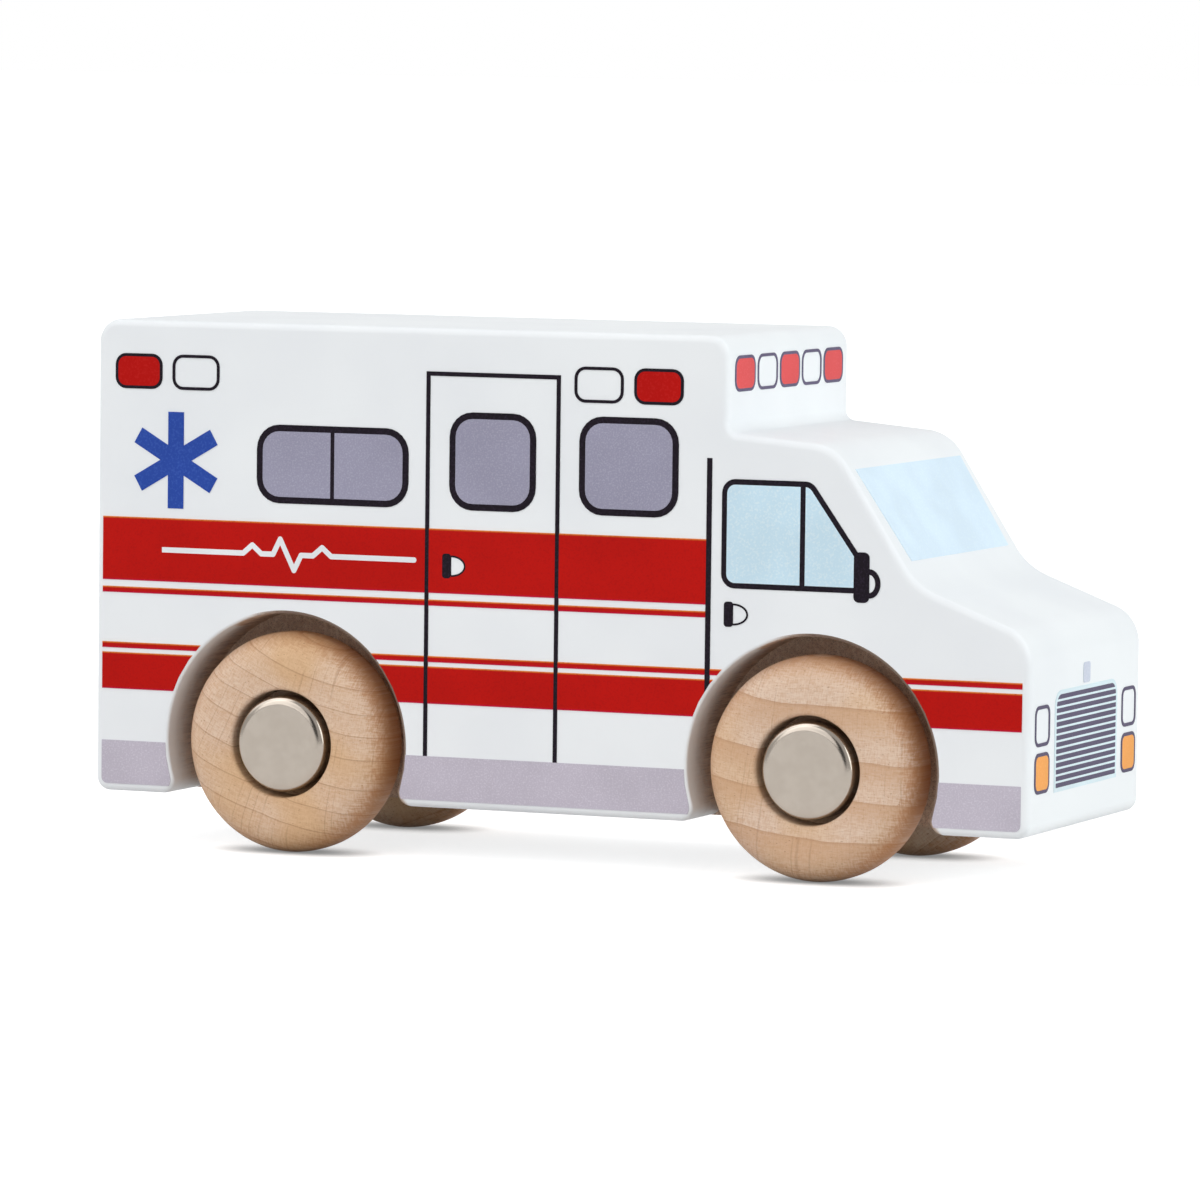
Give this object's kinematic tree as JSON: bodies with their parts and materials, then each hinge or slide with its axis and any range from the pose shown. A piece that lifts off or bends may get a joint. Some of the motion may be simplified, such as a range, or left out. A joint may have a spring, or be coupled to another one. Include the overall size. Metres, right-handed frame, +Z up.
{
  "type": "toy ambulance",
  "caption": "Painted wooden block toy ambulance with printed stripes, windows and lamps, rolling on wooden wheels held on steel axles by push-on caps.",
  "frame": {"origin": "on the ground below the middle of the block, halfway along its length and width", "axes": "+X forward out of the front face, +Y to the vehicle's left, +Z up"},
  "size_m": [0.1302, 0.0458, 0.0689],
  "materials": {
    "white_paint": "satin white paint over solid beech",
    "beech": "clear satin lacquer over turned beech",
    "steel_rod": "drawn rod",
    "cap_steel": "satin nickel",
    "red_ink": "satin printed ink",
    "skirt_grey_ink": "speckled printed ink",
    "pane_grey_ink": "speckled printed ink",
    "pale_blue_ink": "satin printed ink",
    "black_ink": "satin printed ink",
    "blue_ink": "satin printed ink",
    "white_ink": "satin printed ink",
    "grille_grey_ink": "satin printed ink",
    "plate_grey_ink": "satin printed ink",
    "orange_ink": "satin printed ink"
  },
  "bodies": {
    "block": {"body_block": "white_paint", "right_stripe_print": "red_ink", "right_skirt_print": "skirt_grey_ink", "right_pane_print": "pane_grey_ink", "right_cab_glass_print": "pale_blue_ink", "right_line_print": "black_ink", "right_lamp_print": "red_ink", "right_star_print": "blue_ink", "right_pulse_print": "white_ink", "left_stripe_print": "red_ink", "left_skirt_print": "skirt_grey_ink", "left_pane_print": "pane_grey_ink", "left_cab_glass_print": "pale_blue_ink", "left_line_print": "black_ink", "left_lamp_print": "red_ink", "left_star_print": "blue_ink", "left_pulse_print": "white_ink", "windscreen_print": "pale_blue_ink", "light_bar_lamp_print": "red_ink", "light_bar_line_print": "black_ink", "grille_print": "grille_grey_ink", "grille_backing_print": "pale_blue_ink", "plate_print": "plate_grey_ink", "headlamp_line_print": "grille_grey_ink", "indicator_print": "orange_ink", "rear_stripe_print": "red_ink", "rear_skirt_print": "skirt_grey_ink", "rear_pane_print": "pane_grey_ink", "rear_line_print": "black_ink", "rear_lamp_print": "red_ink"},
    "front_axle_set": {"front_axle": "steel_rod", "front_right_cap": "cap_steel", "front_left_cap": "cap_steel"},
    "rear_axle_set": {"rear_axle": "steel_rod", "rear_right_cap": "cap_steel", "rear_left_cap": "cap_steel"},
    "front_right_wheel": {"front_right_wheel": "beech"},
    "front_left_wheel": {"front_left_wheel": "beech"},
    "rear_right_wheel": {"rear_right_wheel": "beech"},
    "rear_left_wheel": {"rear_left_wheel": "beech"}
  },
  "joints": [
    {"name": "front_axle_spin", "type": "hinge", "parent": "block", "child": "front_axle_set", "pos_m": [0.0358, 0, 0.0144], "axis": [0, 1, 0], "continuous": true},
    {"name": "rear_axle_spin", "type": "hinge", "parent": "block", "child": "rear_axle_set", "pos_m": [-0.0375, 0, 0.0144], "axis": [0, 1, 0], "continuous": true},
    {"name": "front_right_wheel_spin", "type": "hinge", "parent": "front_axle_set", "child": "front_right_wheel", "pos_m": [0.0358, -0.01775, 0.0144], "axis": [0, 1, 0], "continuous": true},
    {"name": "front_left_wheel_spin", "type": "hinge", "parent": "front_axle_set", "child": "front_left_wheel", "pos_m": [0.0358, 0.01775, 0.0144], "axis": [0, 1, 0], "continuous": true},
    {"name": "rear_right_wheel_spin", "type": "hinge", "parent": "rear_axle_set", "child": "rear_right_wheel", "pos_m": [-0.0375, -0.01775, 0.0144], "axis": [0, 1, 0], "continuous": true},
    {"name": "rear_left_wheel_spin", "type": "hinge", "parent": "rear_axle_set", "child": "rear_left_wheel", "pos_m": [-0.0375, 0.01775, 0.0144], "axis": [0, 1, 0], "continuous": true}
  ]
}
